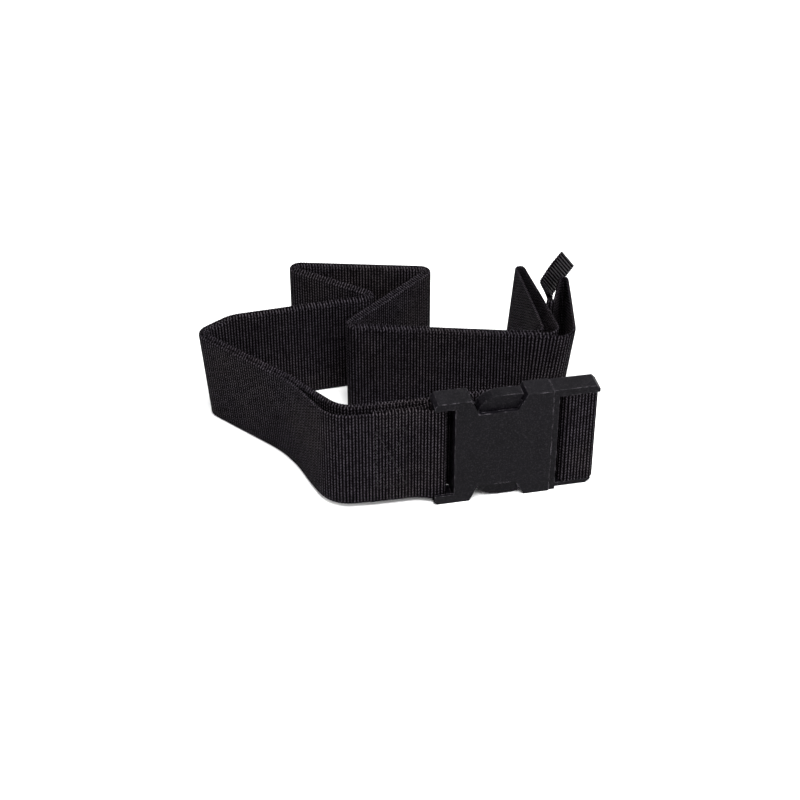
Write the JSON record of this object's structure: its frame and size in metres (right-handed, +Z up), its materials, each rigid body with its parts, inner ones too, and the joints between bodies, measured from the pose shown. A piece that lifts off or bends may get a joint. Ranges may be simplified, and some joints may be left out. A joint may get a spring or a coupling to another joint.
{
  "type": "dive weight belt",
  "caption": "Black ribbed webbing belt with a side-release plastic buckle, buckled, flattened and folded up, standing on its edge.",
  "frame": {"origin": "middle of the folded belt's box, on the surface it stands on", "axes": "+X along the folded belt's length, +Z up across the webbing, -Y the side of the buckle"},
  "size_m": [0.1878, 0.1406, 0.0774],
  "materials": {
    "webbing": "matt ribbed weave",
    "thread": "matt twisted thread",
    "buckle_plastic": "fine grained moulding"
  },
  "bodies": {
    "belt": {"female_web_loop": "webbing", "female_housing": "buckle_plastic", "stack_front_left": "webbing", "stack_left_turn": "webbing", "stack_left_run": "webbing", "stack_left_sweep": "webbing", "stack_inner_run": "webbing", "stack_inner_hairpin": "webbing", "stack_back_left": "webbing", "stack_far_left_fold": "webbing", "stack_back_run": "webbing", "stack_far_right_fold": "webbing", "stack_cross_run": "webbing", "stack_near_fold": "webbing", "stack_front_run": "webbing", "end_back_layer": "webbing", "end_light_curl": "webbing", "end_light_leaf": "webbing", "end_far_fold": "webbing", "end_dark_leaf": "webbing", "end_dark_curl": "webbing", "end_middle_layer": "webbing", "tail_front_layer": "webbing", "tail_curl": "webbing", "tail_right_leaf": "webbing", "tail_far_turn": "webbing", "tail_inner_leaf": "webbing", "tail_near_turn": "webbing", "tail_last_leaf": "webbing", "tail_tip": "webbing", "sewn_web": "webbing", "front_web_flat": "webbing", "front_web_bend": "webbing", "front_web_side": "webbing", "front_web_ease": "webbing", "front_web_join": "webbing", "inner_web_behind": "webbing", "inner_web_near": "webbing", "inner_web_flat": "webbing", "inner_web_bend": "webbing", "inner_web_join": "webbing", "box_stitching": "thread"},
    "male_insert": {"male_web_loop": "webbing", "male_frame": "buckle_plastic"},
    "upper_latch_arm": {"upper_latch_arm": "buckle_plastic"},
    "lower_latch_arm": {"lower_latch_arm": "buckle_plastic"}
  },
  "joints": [
    {"name": "buckle_release", "type": "slide", "parent": "belt", "child": "male_insert", "axis": [0.9796, 0.2011, 0], "range_m": [0, 0.05], "deforming": ["upper_latch_arm", "lower_latch_arm"]},
    {"name": "upper_arm_flex", "type": "hinge", "parent": "male_insert", "child": "upper_latch_arm", "pos_m": [0.07134, -0.05165, 0.0501], "axis": [0.2011, -0.9796, 0], "range_deg": [0, 7], "stiffness_Nm_per_rad": 0.5},
    {"name": "lower_arm_flex", "type": "hinge", "parent": "male_insert", "child": "lower_latch_arm", "pos_m": [0.07134, -0.05165, 0.0065], "axis": [-0.2011, 0.9796, 0], "range_deg": [0, 7], "stiffness_Nm_per_rad": 0.5}
  ]
}
